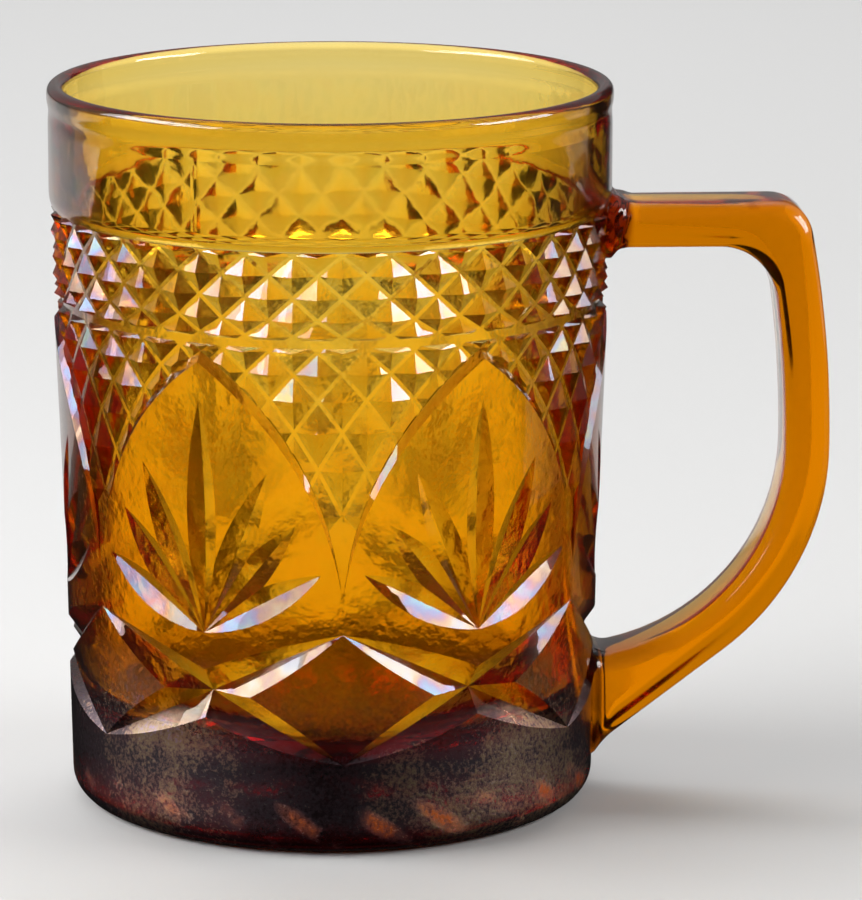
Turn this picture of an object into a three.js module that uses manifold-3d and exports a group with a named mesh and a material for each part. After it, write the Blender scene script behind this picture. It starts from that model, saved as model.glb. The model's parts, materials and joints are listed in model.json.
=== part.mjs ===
import * as THREE from 'three';
import { mergeVertices } from 'three/addons/utils/BufferGeometryUtils.js';
import Module from 'manifold-3d';

const wasm = await Module();
wasm.setup();

// A handled drinking mug of pressed amber glass. Millimetres and degrees, +Z up, the origin on the
// mug's axis at the standing plane. Angles round the wall start at the front (-Y) and grow towards
// the handle (+X).

// Zones of the wall, stacked upwards from the standing plane
const baseBandHeight = 13.3;
const mitreRise = 18.6;
const archSill = 1.5;
const archHeight = 37.6;
const archHeadroom = 0.5;
const lowerGrooveWidth = 2.1;
const beltLowerEdge = 2.2;
const beltRowPitch = 3.1;
const beltUpperEdge = 2.8;
const upperGrooveWidth = 2.2;
const rimBandHeight = 16;

// Radii of the lands, the uncut surface that all cuts start from
const footRadius = 37.4;
const waistRadius = 37.95;
const shoulderRadius = 39.35;
const rimBandRadius = 39.85;
const lipRadius = 40;

// Roundings of the blank and the bowl inside it
const baseCorner = 4;
const bandRound = 1.3;
const lipRound = 1.2;
const lipBead = 1.6;
const bowlFloorHeight = 12.5;
const bowlFloorRadius = 32.6;
const bowlFillet = 7;

// Glass between the bowl and the lands. With these values the bowl is one straight taper.
const waistWall = 4.50553;
const shoulderWall = 3.59083;
const rimWall = 2.34721;

// Diamond points: columns round the wall, depth, and the stretch of the rows between the arches
const diamondCount = 36;
const diamondDepth = 1;
const pointBlunting = 0.1;
const spandrelRows = 6;
const spandrelStretch = 1.2;
const spandrelFade = 4;
const grooveDepth = 1;
const grooveSide = 0.5;

// Pointed arches, their outline grooves and the fan of leaves that stands in each
const archCount = 6;
const archArcRadius = 45.5;
const outlineHalfWidth = 1.1;
const outlineDepth = 0.9;
const outlineTipRise = 4.6;
const outlineOverrun = 1.5;
const fanDrop = 2.1;
const leafHalfWidth = 2.2;
const leafDepth = 1.15;
const fanLeaves = [
  { lean: 0, length: 32.7 },
  { lean: 22.5, length: 25.1 },
  { lean: 40, length: 21 },
  { lean: 61.7, length: 19.2 },
];

// Long mitre cuts that cross below the arches
const mitreHalfWidth = 3.1;
const mitreDepth = 2.4;

// Share of its length by which the wheel of a straight cut runs on above the surface past each point,
// and the room above the deck of every cut, so that its facets never leave a chip of the land
const spindleOverrun = 0.08;
const deckRoom = 2;

// Rays pressed into the underside between a plain button and the standing ring
const rayCount = 24;
const rayInnerRadius = 9;
const rayOuterRadius = 31;
const rayHalfWidth = 2;
const rayDepth = 1.2;

// Handle, laid out in the plane of the mug's axis. The edge limit is a share of the grip's thickness.
const handleDepth = 12.5;
const gripThickness = 6.55;
const handleEdgeRound = 2.8;
const handleEdgeLimit = 0.45;
const fingerGap = 25.25;
const armRise = 1.15;
const armCornerRadius = 5.6;
const armInnerCornerRadius = 8.2;
const uprightRadius = 165;
const bowHeight = 50.7;
const bowOuterRadius = 37.8;
const bowInnerRadius = 30.8;
const lowerArmSlope = 37;
const handleSeatGap = 0.3;

// Fineness of the round stretches
const cornerSteps = 3;
const lipSteps = 4;
const leafSteps = 4;
const mitreSteps = 6;
const outlineSteps = 5;
const archSteps = 6;
const raySteps = 3;
const handleBevelSteps = 2;
const handleArcSteps = 6;
const envelopeSides = 144;

const radians = THREE.MathUtils.degToRad;
const columns = 2 * diamondCount;
const columnAngle = 2 * Math.PI / columns;
const archAngle = 2 * Math.PI / archCount;
const archAngles = range(archCount).map((i) => (i + 0.5) * archAngle);

// Heights that follow from the stack of zones
const mitreTop = baseBandHeight + mitreRise;
const archSpring = mitreTop + archSill;
const archPoint = archSpring + archHeight;
const spandrelTop = archPoint + archHeadroom;
const beltBottom = spandrelTop + lowerGrooveWidth;
const beltRowLow = beltBottom + beltLowerEdge;
const beltRowMiddle = beltRowLow + beltRowPitch;
const beltRowHigh = beltRowMiddle + beltRowPitch;
const beltTop = beltRowHigh + beltUpperEdge;
const bandBottom = beltTop + upperGrooveWidth;
const height = bandBottom + rimBandHeight;

// Radius of the land at a height: straight tapers from foot to waist, shoulder and rim band
function landRadius(z) {
  const stations = [
    [baseCorner, footRadius],
    [archSpring, waistRadius],
    [spandrelTop, shoulderRadius],
    [bandBottom, rimBandRadius],
  ];
  const upper = stations.findIndex(([stationZ]) => z < stationZ);
  if (upper === 0) {
    return footRadius;
  }
  if (upper < 0) {
    return rimBandRadius;
  }
  const [z0, r0] = stations[upper - 1];
  const [z1, r1] = stations[upper];
  return THREE.MathUtils.mapLinear(z, z0, z1, r0, r1);
}

// A closed mesh becomes a solid that can be cut and joined
function solidOf(geometry) {
  const bare = geometry.clone();
  bare.deleteAttribute('normal');
  bare.deleteAttribute('uv');
  const merged = mergeVertices(bare);
  return new wasm.Manifold(new wasm.Mesh({
    numProp: 3,
    vertProperties: new Float32Array(merged.attributes.position.array),
    triVerts: new Uint32Array(merged.index.array),
  }));
}

function geometryOf(solid) {
  const mesh = solid.getMesh();
  const geometry = new THREE.BufferGeometry();
  geometry.setAttribute('position', new THREE.BufferAttribute(mesh.vertProperties, 3));
  geometry.setIndex(new THREE.BufferAttribute(mesh.triVerts, 1));
  geometry.computeVertexNormals();
  return geometry;
}

function meshGeometry(points, triangles) {
  const geometry = new THREE.BufferGeometry();
  const numbers = points.flatMap((p) => p.toArray());
  geometry.setAttribute('position', new THREE.Float32BufferAttribute(numbers, 3));
  geometry.setIndex(triangles.flat());
  return geometry;
}

function joinAll(solids) {
  return solids.reduce((sum, next) => sum.add(next));
}

function range(count) {
  return [...Array(count).keys()];
}

// One ring of points round the axis. Even and odd columns may stand at different radii.
function ring(z, evenRadius, oddRadius = evenRadius) {
  return { z, radii: [evenRadius, oddRadius] };
}

// Rings along a circular arc of the profile, angles measured from outwards (+r) towards up
function arcRings(centreRadius, centreZ, radius, startAngle, endAngle, steps) {
  return range(steps + 1).map((step) => {
    const angle = radians(THREE.MathUtils.lerp(startAngle, endAngle, step / steps));
    return ring(centreZ + radius * Math.sin(angle), centreRadius + radius * Math.cos(angle));
  });
}

// Skin through a list of rings. Each cell is split between its two lower corners, so that a point
// with lower neighbours becomes a four-sided pyramid. Without poles the last ring meets the first.
function ringSolid(rings, poles) {
  const points = [];
  const triangles = [];
  const rowStart = [];
  for (const { z, radii } of rings) {
    rowStart.push(points.length);
    const copies = radii[0] === 0 ? 1 : columns;
    for (const i of range(copies)) {
      const angle = i * columnAngle;
      const radius = radii[i % 2];
      points.push(new THREE.Vector3(radius * Math.sin(angle), -radius * Math.cos(angle), z));
    }
  }
  const corner = (row, i) => rowStart[row] + (rings[row].radii[0] === 0 ? 0 : i % columns);
  const dips = (row, i) => rings[row].radii[i % 2] < rings[row].radii[(i + 1) % 2];
  const lastRow = poles ? rings.length - 1 : rings.length;
  for (const row of range(lastRow)) {
    const next = (row + 1) % rings.length;
    for (const i of range(columns)) {
      const [a, b] = [corner(row, i), corner(row, i + 1)];
      const [c, d] = [corner(next, i), corner(next, i + 1)];
      const fromFirst = dips(row, i) || dips(next, i + 1);
      const pair = fromFirst ? [[a, b, d], [a, d, c]] : [[a, b, c], [b, d, c]];
      triangles.push(...pair.filter((t) => new Set(t).size === 3));
    }
  }
  return solidOf(meshGeometry(points, triangles));
}

// A point on the wall from its angle, its height and its lift above the land
function wallPoint(angle, z, lift) {
  const radius = landRadius(z) + lift;
  return new THREE.Vector3(radius * Math.sin(angle), -radius * Math.cos(angle), z);
}

// The pattern is drawn flat, in millimetres sideways and up, and wrapped round the waist
function wrapped(centreAngle) {
  return (u, z, lift) => wallPoint(centreAngle + u / waistRadius, z, lift);
}

// The underside is drawn flat too, seen from below
function underside(u, v, lift) {
  return new THREE.Vector3(u, -v, -lift);
}

// Cut left by a V-edged wheel: sections along a path, with the keel below the surface where the swell
// is above zero, flanks up to a deck above the surface, and an upright room on the deck.
function wheelCut({ path, place, swell, halfWidth, depth, steps }) {
  const deckLift = depth / 2;
  const points = [];
  const triangles = [];
  for (const i of range(steps + 1)) {
    const { u, v, du, dv } = path(i / steps);
    const keel = -depth * swell(i / steps);
    const halfDeck = (deckLift - keel) * halfWidth / depth;
    const left = [u - dv * halfDeck, v + du * halfDeck];
    const right = [u + dv * halfDeck, v - du * halfDeck];
    points.push(
      place(u, v, keel),
      place(...left, deckLift),
      place(...left, deckLift + deckRoom),
      place(...right, deckLift + deckRoom),
      place(...right, deckLift),
    );
  }
  const corners = points.length / (steps + 1);
  for (const i of range(steps)) {
    for (const side of range(corners)) {
      const [a, b] = [corners * i + side, corners * i + (side + 1) % corners];
      triangles.push([a, b, b + corners], [a, b + corners, a + corners]);
    }
  }
  const end = corners * steps;
  for (const i of range(corners - 2)) {
    triangles.push([0, i + 2, i + 1], [end, end + i + 1, end + i + 2]);
  }
  return solidOf(meshGeometry(points, triangles));
}

// Straight spindle cut, pointed at both ends
function spindleShare(s) {
  return THREE.MathUtils.lerp(-spindleOverrun, 1 + spindleOverrun, s);
}

function spindleCut({ from, to, place, halfWidth, depth, steps }) {
  const run = new THREE.Vector2().subVectors(to, from);
  const direction = run.clone().normalize();
  const path = (s) => {
    const here = from.clone().addScaledVector(run, spindleShare(s));
    return { u: here.x, v: here.y, du: direction.x, dv: direction.y };
  };
  const swell = (s) => 4 * spindleShare(s) * (1 - spindleShare(s));
  return wheelCut({ path, place, swell, halfWidth, depth, steps });
}

// Arch drawn flat: two arcs, each centred across the arch's axis, that rise upright from the spring
const archArcOffset = Math.sqrt(archArcRadius ** 2 - archHeight ** 2);
const archHalfWidth = archArcRadius - archArcOffset;
const archPointTurn = Math.asin(archHeight / archArcRadius);

// Radial block with the arch's outline, deep enough to part the wall and all that stands on it
function archBlock(centreAngle) {
  const outline = new THREE.Shape();
  outline.moveTo(-archHalfWidth, mitreTop);
  outline.lineTo(archHalfWidth, mitreTop);
  outline.lineTo(archHalfWidth, archSpring);
  outline.absarc(-archArcOffset, archSpring, archArcRadius, 0, archPointTurn, false);
  outline.absarc(archArcOffset, archSpring, archArcRadius, Math.PI - archPointTurn, Math.PI, false);
  outline.closePath();
  const reach = waistRadius;
  const block = new THREE.ExtrudeGeometry(outline, {
    depth: reach,
    bevelEnabled: false,
    curveSegments: archSteps,
  });
  const position = block.attributes.position;
  const place = wrapped(centreAngle);
  for (const i of range(position.count)) {
    const lift = position.getZ(i) - reach / 2;
    position.setXYZ(i, ...place(position.getX(i), position.getY(i), lift).toArray());
  }
  return solidOf(block);
}

// Groove along one side of an arch: a point near the spring that widens up to the arch's point
function outlineCut(centreAngle, side) {
  const tipTurn = Math.asin(outlineTipRise / archArcRadius);
  const startTurn = tipTurn - outlineOverrun / archArcRadius;
  const endTurn = archPointTurn + outlineOverrun / archArcRadius;
  const turnAt = (s) => THREE.MathUtils.lerp(startTurn, endTurn, s);
  const path = (s) => {
    const turn = turnAt(s);
    return {
      u: side * (archArcRadius * Math.cos(turn) - archArcOffset),
      v: archSpring + archArcRadius * Math.sin(turn),
      du: -side * Math.sin(turn),
      dv: Math.cos(turn),
    };
  };
  const swell = (s) => {
    const share = (turnAt(s) - tipTurn) / (archPointTurn - tipTurn);
    return share * (2 - share);
  };
  return wheelCut({
    path,
    place: wrapped(centreAngle),
    swell,
    halfWidth: outlineHalfWidth,
    depth: outlineDepth,
    steps: outlineSteps,
  });
}

function fanLeafCut(centreAngle, lean, length) {
  const foot = new THREE.Vector2(0, archSpring - fanDrop);
  const outwards = new THREE.Vector2(Math.sin(radians(lean)), Math.cos(radians(lean)));
  return spindleCut({
    from: foot,
    to: foot.clone().addScaledVector(outwards, length),
    place: wrapped(centreAngle),
    halfWidth: leafHalfWidth,
    depth: leafDepth,
    steps: leafSteps,
  });
}

function mitreCut(centreAngle, side) {
  const halfRun = waistRadius * archAngle / 2;
  return spindleCut({
    from: new THREE.Vector2(-side * halfRun, mitreTop),
    to: new THREE.Vector2(side * halfRun, baseBandHeight),
    place: wrapped(centreAngle),
    halfWidth: mitreHalfWidth,
    depth: mitreDepth,
    steps: mitreSteps,
  });
}

function rayCut(angle) {
  const outwards = new THREE.Vector2(Math.cos(angle), Math.sin(angle));
  return spindleCut({
    from: outwards.clone().multiplyScalar(rayInnerRadius),
    to: outwards.clone().multiplyScalar(rayOuterRadius),
    place: underside,
    halfWidth: rayHalfWidth,
    depth: rayDepth,
    steps: raySteps,
  });
}

// Pyramid points at the land and the furrows between them, for even and odd columns
function diamondRing(z, evenColumnsArePoints) {
  const point = landRadius(z) - pointBlunting;
  const furrow = landRadius(z) - diamondDepth;
  return evenColumnsArePoints ? ring(z, point, furrow) : ring(z, furrow, point);
}

// Blank of the mug: foot, plain wall, ring grooves, belt of diamond points, rim band, lip and bowl
function bodyBlank() {
  const lowerGroove = landRadius(spandrelTop) - grooveDepth;
  const upperGroove = rimBandRadius - bandRound;
  const lipTop = height - lipRound;
  const filletRadius = bowlFloorRadius - bowlFillet;
  return ringSolid([
    ring(0, 0),
    ...arcRings(footRadius - baseCorner, baseCorner, baseCorner, -90, 0, cornerSteps),
    ring(archSpring, waistRadius),
    ring(spandrelTop, shoulderRadius),
    ring(spandrelTop + grooveSide, lowerGroove),
    ring(beltBottom - grooveSide, lowerGroove),
    diamondRing(beltBottom, false),
    diamondRing(beltRowLow, true),
    diamondRing(beltRowMiddle, false),
    diamondRing(beltRowHigh, true),
    diamondRing(beltTop, false),
    ring(beltTop + grooveSide, upperGroove),
    ...arcRings(rimBandRadius - bandRound, bandBottom, bandRound, -90, 0, cornerSteps),
    ring(lipTop - lipBead, rimBandRadius),
    ...arcRings(lipRadius - lipRound, lipTop, lipRound, 0, 180, lipSteps),
    ring(lipTop - lipBead, rimBandRadius - rimWall),
    ring(spandrelTop, shoulderRadius - shoulderWall),
    ring(archSpring, waistRadius - waistWall),
    ...arcRings(filletRadius, bowlFloorHeight + bowlFillet, bowlFillet, 0, -90, cornerSteps),
    ring(bowlFloorHeight, 0),
  ], true);
}

// Room that the diamond points between the arches leave round the wall
function spandrelRoom() {
  const outside = Math.max(waistRadius, shoulderRadius) + grooveDepth + diamondDepth;
  const rows = [];
  let z = spandrelTop;
  let pitch = beltRowPitch;
  for (const row of range(spandrelRows)) {
    rows.push(diamondRing(z, row % 2 === 0));
    z -= pitch;
    pitch *= spandrelStretch;
  }
  const fadeZ = archSpring + spandrelFade;
  const aboveLand = landRadius(fadeZ) + pointBlunting;
  const openTop = landRadius(spandrelTop) - grooveDepth + pointBlunting;
  const room = ringSolid([
    ring(fadeZ, outside),
    ring(spandrelTop + grooveSide, outside),
    ring(spandrelTop + grooveSide, openTop),
    ...rows,
    ring(fadeZ, aboveLand),
  ], false);
  return room.subtract(joinAll(archAngles.map(archBlock)));
}

function mugBody() {
  const sides = [-1, 1];
  const outlines = archAngles.flatMap((angle) => sides.map((side) => outlineCut(angle, side)));
  const leaves = archAngles.flatMap((angle) => fanLeaves.flatMap(({ lean, length }) => (
    lean === 0
      ? [fanLeafCut(angle, lean, length)]
      : sides.map((side) => fanLeafCut(angle, side * lean, length))
  )));
  const mitres = archAngles.flatMap((angle) => sides.map((side) => mitreCut(angle, side)));
  const rays = range(rayCount).map((i) => rayCut(2 * Math.PI * i / rayCount));
  const cuts = joinAll([spandrelRoom(), ...outlines, ...leaves, ...mitres, ...rays]);
  return bodyBlank().subtract(cuts);
}

// Outline of the handle from the side: level arm, rounded corner, gently bowed upright and a bow
// that runs down into the lower arm. Its ends reach into the wall and are trimmed to the seats.
function handleOutline() {
  const armTop = beltTop + armRise;
  const armBottom = armTop - gripThickness;
  const outerX = shoulderRadius + fingerGap + gripThickness;
  const innerX = outerX - gripThickness;
  const uprightCentreX = outerX - uprightRadius;
  const slope = radians(lowerArmSlope);
  const bowTurn = slope - Math.PI / 2;
  const outline = new THREE.Shape();
  const corner = (radius, cornerRadius, levelZ) => {
    const reach = radius - cornerRadius;
    const rise = levelZ - cornerRadius - bowHeight;
    const turn = Math.asin(rise / reach);
    return { x: uprightCentreX + reach * Math.cos(turn), z: levelZ - cornerRadius, turn };
  };
  const outer = corner(uprightRadius, armCornerRadius, armTop);
  const inner = corner(uprightRadius - gripThickness, armInnerCornerRadius, armBottom);
  const bowOuterX = outerX - bowOuterRadius;
  const bowInnerX = innerX - bowInnerRadius;
  const inside = Math.min(footRadius - baseCorner, bowInnerX - handleSeatGap);
  const runOff = new THREE.Vector2(
    bowOuterX + bowOuterRadius * Math.cos(bowTurn),
    bowHeight + bowOuterRadius * Math.sin(bowTurn),
  );
  outline.moveTo(inside, armBottom);
  outline.lineTo(inner.x, armBottom);
  outline.absarc(inner.x, inner.z, armInnerCornerRadius, Math.PI / 2, inner.turn, true);
  outline.absarc(uprightCentreX, bowHeight, uprightRadius - gripThickness, inner.turn, 0, true);
  outline.absarc(bowInnerX, bowHeight, bowInnerRadius, 0, -Math.PI / 2, true);
  outline.lineTo(inside, bowHeight - bowInnerRadius);
  outline.lineTo(inside, runOff.y - (runOff.x - inside) * Math.tan(slope));
  outline.lineTo(runOff.x, runOff.y);
  outline.absarc(bowOuterX, bowHeight, bowOuterRadius, bowTurn, 0, false);
  outline.absarc(uprightCentreX, bowHeight, uprightRadius, 0, outer.turn, false);
  outline.absarc(outer.x, outer.z, armCornerRadius, outer.turn, Math.PI / 2, false);
  outline.lineTo(inside, armTop);
  outline.closePath();
  return outline;
}

// Land of the wall all round, out by the gap at the handle's seats
function seatEnvelope() {
  const stations = [baseCorner, archSpring, spandrelTop, bandBottom, height];
  const outline = stations.map((z) => new THREE.Vector2(landRadius(z) + handleSeatGap, z));
  const profile = [
    new THREE.Vector2(0, -baseCorner),
    new THREE.Vector2(footRadius + handleSeatGap, -baseCorner),
    ...outline,
    new THREE.Vector2(0, height),
  ];
  return solidOf(new THREE.LatheGeometry(profile, envelopeSides).rotateX(Math.PI / 2));
}

// Handle pressed with rounded edges and stuck to the wall at both ends
function handle() {
  const edge = Math.min(handleEdgeRound, handleEdgeLimit * gripThickness);
  const pressed = new THREE.ExtrudeGeometry(handleOutline(), {
    depth: handleDepth - 2 * edge,
    bevelEnabled: true,
    bevelThickness: edge,
    bevelSize: edge,
    bevelOffset: -edge,
    bevelSegments: handleBevelSteps,
    curveSegments: handleArcSteps,
  });
  pressed.translate(0, 0, edge - handleDepth / 2);
  pressed.rotateX(Math.PI / 2);
  return solidOf(pressed).subtract(seatEnvelope());
}

const lustredAmber = new THREE.MeshStandardMaterial({ color: 0xa05a0c, roughness: 0.08, metalness: 0 });
const clearAmber = new THREE.MeshStandardMaterial({ color: 0xc47708, roughness: 0.05, metalness: 0 });

function namedMesh(name, solid, material) {
  const mesh = new THREE.Mesh(geometryOf(solid), material);
  mesh.name = name;
  return mesh;
}

const mug = new THREE.Group();
mug.add(namedMesh('mug_body', mugBody(), lustredAmber));
mug.add(namedMesh('handle', handle(), clearAmber));

export default mug;
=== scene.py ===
import json
import math

import bmesh
import bpy
import numpy as np
from mathutils import Matrix, Vector, noise

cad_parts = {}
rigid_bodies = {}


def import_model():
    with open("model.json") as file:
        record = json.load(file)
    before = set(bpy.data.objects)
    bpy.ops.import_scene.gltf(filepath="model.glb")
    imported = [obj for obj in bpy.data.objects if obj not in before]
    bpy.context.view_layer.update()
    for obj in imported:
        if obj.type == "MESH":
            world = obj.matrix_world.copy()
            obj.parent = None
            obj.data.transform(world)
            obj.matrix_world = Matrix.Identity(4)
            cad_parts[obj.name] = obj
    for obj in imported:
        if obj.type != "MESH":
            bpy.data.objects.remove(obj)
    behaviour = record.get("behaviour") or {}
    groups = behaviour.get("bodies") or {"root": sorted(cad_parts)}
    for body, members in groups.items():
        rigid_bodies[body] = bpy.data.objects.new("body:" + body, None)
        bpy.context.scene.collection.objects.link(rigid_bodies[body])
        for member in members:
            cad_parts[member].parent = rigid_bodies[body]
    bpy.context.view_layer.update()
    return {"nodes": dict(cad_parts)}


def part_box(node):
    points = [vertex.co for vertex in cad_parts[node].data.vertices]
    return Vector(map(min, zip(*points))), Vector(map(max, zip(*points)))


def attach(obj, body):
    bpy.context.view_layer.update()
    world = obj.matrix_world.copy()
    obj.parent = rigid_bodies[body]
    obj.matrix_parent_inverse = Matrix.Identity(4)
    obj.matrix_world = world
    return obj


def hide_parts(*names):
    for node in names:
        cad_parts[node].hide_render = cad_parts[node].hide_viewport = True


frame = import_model()
mm = 0.001  # the pieces are laid out in millimetres
scene = bpy.context.scene
print("frame loaded:", sorted(frame["nodes"]))


# Small helpers

def addObject(name, mesh):
    obj = bpy.data.objects.new(name, mesh)
    scene.collection.objects.link(obj)
    return obj


def solidFrom(name, points, faces):
    mesh = bpy.data.meshes.new(name)
    mesh.from_pydata(points, [], faces)
    form = bmesh.new()
    form.from_mesh(mesh)
    bmesh.ops.recalc_face_normals(form, faces=form.faces)
    form.to_mesh(mesh)
    form.free()
    return addObject(name, mesh)


def loft(name, points, sides):  # skin over rings of points, closed at both ends
    last = len(points) // sides - 1
    faces = []
    for i in range(last):
        for side in range(sides):
            a, b = sides * i + side, sides * i + (side + 1) % sides
            faces.append((a, b, b + sides, a + sides))
    faces += [tuple(range(sides)), tuple(range(sides * last, sides * (last + 1)))]
    return solidFrom(name, points, faces)


def settle(obj):  # what the modifiers make becomes the object's own mesh
    graph = bpy.context.evaluated_depsgraph_get()
    old = obj.data
    made = bpy.data.meshes.new_from_object(obj.evaluated_get(graph))
    obj.modifiers.clear()
    obj.data = made
    bpy.data.meshes.remove(old)
    return obj


def carve(target, tool, how):
    cut = target.modifiers.new("carve", "BOOLEAN")
    cut.solver = "MANIFOLD"
    cut.operation = how
    cut.object = tool
    settle(target)
    bpy.data.objects.remove(tool)
    return target


def blendTo(low, high, share):
    return low + (high - low) * share


def spread(low, high, steps):
    return [blendTo(low, high, step / steps) for step in range(steps + 1)]


def arc(centreR, centreZ, radius, start, end, steps):
    turns = [math.radians(turn) for turn in spread(start, end, steps)]
    return [(centreR + radius * math.cos(t), centreZ + radius * math.sin(t)) for t in turns]


def nodeIn(tree, kind, **settings):
    node = tree.nodes.new(kind)
    for name, value in settings.items():
        setattr(node, name, value)
    return node


def setInputs(node, **values):
    for name, value in values.items():
        node.inputs[name.replace("_", " ")].default_value = value
    return node


# Geometry node trees

def wire(tree, *joins):
    for source, out, target, into in joins:
        tree.links.new(source.outputs[out], target.inputs[into])


def newTree(name, inputs):
    tree = bpy.data.node_groups.new(name, "GeometryNodeTree")
    tree.interface.new_socket("Geometry", in_out="INPUT", socket_type="NodeSocketGeometry")
    for label, kind in inputs:
        tree.interface.new_socket(label, in_out="INPUT", socket_type=kind)
    tree.interface.new_socket("Geometry", in_out="OUTPUT", socket_type="NodeSocketGeometry")
    return tree, tree.nodes.new("NodeGroupInput"), tree.nodes.new("NodeGroupOutput")


def applyTree(obj, tree, values):
    modifier = obj.modifiers.new(tree.name, "NODES")
    modifier.node_group = tree
    for socket in tree.interface.items_tree:
        if socket.in_out == "INPUT" and socket.name in values:
            modifier[socket.identifier] = values[socket.name]
    return settle(obj)


def makeRowTree():  # copies of one shape along a level row
    tree, start, end = newTree("alongRow", [
        ("Count", "NodeSocketInt"), ("Pitch", "NodeSocketFloat"),
        ("First", "NodeSocketFloat"), ("Glass", "NodeSocketMaterial")])
    offset = nodeIn(tree, "ShaderNodeCombineXYZ")
    first = nodeIn(tree, "ShaderNodeCombineXYZ")
    row = nodeIn(tree, "GeometryNodeMeshLine", mode="OFFSET")
    place = nodeIn(tree, "GeometryNodeInstanceOnPoints")
    real = nodeIn(tree, "GeometryNodeRealizeInstances")
    paint = nodeIn(tree, "GeometryNodeSetMaterial")
    wire(tree, (start, "Pitch", offset, "X"),
         (start, "First", first, "X"),
         (start, "Count", row, "Count"),
         (first, "Vector", row, "Start Location"),
         (offset, "Vector", row, "Offset"),
         (row, "Mesh", place, "Points"),
         (start, "Geometry", place, "Instance"),
         (place, "Instances", real, "Geometry"),
         (real, "Geometry", paint, "Geometry"),
         (start, "Glass", paint, "Material"),
         (paint, "Geometry", end, "Geometry"))
    return tree


def makeTurnTree():  # a wedge and its mirror image, turned round the axis and welded
    tree, start, end = newTree("roundTheAxis", [
        ("Panels", "NodeSocketInt"), ("Step", "NodeSocketFloat"),
        ("Weld", "NodeSocketFloat"), ("Glass", "NodeSocketMaterial")])
    mirror = nodeIn(tree, "GeometryNodeTransform")
    mirror.inputs["Scale"].default_value = (-1, 1, 1)
    flip = nodeIn(tree, "GeometryNodeFlipFaces")
    both = nodeIn(tree, "GeometryNodeJoinGeometry")
    ring = nodeIn(tree, "GeometryNodeMeshLine", mode="OFFSET")
    ring.inputs["Offset"].default_value = (0, 0, 0)
    index = nodeIn(tree, "GeometryNodeInputIndex")
    turn = nodeIn(tree, "ShaderNodeMath", operation="MULTIPLY")
    spin = nodeIn(tree, "ShaderNodeCombineXYZ")
    place = nodeIn(tree, "GeometryNodeInstanceOnPoints")
    real = nodeIn(tree, "GeometryNodeRealizeInstances")
    weld = nodeIn(tree, "GeometryNodeMergeByDistance")
    paint = nodeIn(tree, "GeometryNodeSetMaterial")
    wire(tree, (start, "Geometry", mirror, "Geometry"),
         (mirror, "Geometry", flip, "Mesh"),
         (start, "Geometry", both, "Geometry"),
         (flip, "Mesh", both, "Geometry"),
         (start, "Panels", ring, "Count"),
         (index, "Index", turn, 0),
         (start, "Step", turn, 1),
         (turn, "Value", spin, "Z"),
         (ring, "Mesh", place, "Points"),
         (both, "Geometry", place, "Instance"),
         (spin, "Vector", place, "Rotation"),
         (place, "Instances", real, "Geometry"),
         (real, "Geometry", weld, "Geometry"),
         (start, "Weld", weld, "Distance"),
         (weld, "Geometry", paint, "Geometry"),
         (start, "Glass", paint, "Material"),
         (paint, "Geometry", end, "Geometry"))
    return tree


rowTree = makeRowTree()
turnTree = makeTurnTree()
print("node trees ready")


# Glass

glass = {
    "ior": 1.51,
    "amber": (0.975, 0.825, 0.086),  # absorption colour
    "density": 700.0,
}
noises = {  # scale, detail and roughness
    "patches": (150, 3), "clouds": (75, 3, 0.55), "speckle": (1700, 4, 0.7),
    "waves": (210, 1), "ripples": (560, 2),
}
coat = {  # outside of the body, heights and widths in metres
    "filmIor": 1.64, "film": (70.0, 340.0),  # thickness in nanometres
    "patchSpread": (0.3, 0.7), "speckleSpread": (0.35, 0.65),
    "bandTop": (0.010, 0.0145), "bandWander": 0.002,  # where the deposit and its painted shade on the base band end
    "veil": 0.85, "veilTop": (0.013, 0.028), "cutVeilTop": (0.014, 0.020),  # painted shade over the thick glass above it, drawn as a thin deposit
    "veilSpread": (0.4, 0.6), "veilThin": 0.35,
    "satin": (0.05, 0.28), "polish": 0.015, "bowlBlur": 0.16,  # roughness of band, wall and bowl
    "rippleTop": (0.078, 0.087), "rippleAbove": 0.22, "ripplePower": 1.6,
    "rippleDepth": 0.00012, "waveDepth": 0.00005,
    "seamTurn": math.radians(90), "seamStep": math.radians(120),  # the first 30 degrees left of the front
    "seamHalf": (0.002, 0.012), "seamFoot": (0.0876, 0.0882), "seamLift": 0.00004,
    "edgeShade": (0.16, 0.13, 0.11),  # painted shade where the wall is seen edge on
    "edgeShadeRoughness": 0.22, "edgeShadeFacing": (0.42, 0.88), "edgeShadeShare": 0.82,
    "handleSideShade": (0.05, 0.036, 0.028),  # the same painted shade, darker on the handle's side of the body
    "handleSideShadeX": (0.018, 0.032), "heavyShadeX": (0.024, 0.035), "heavyShadeShare": 0.6,
}
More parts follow.
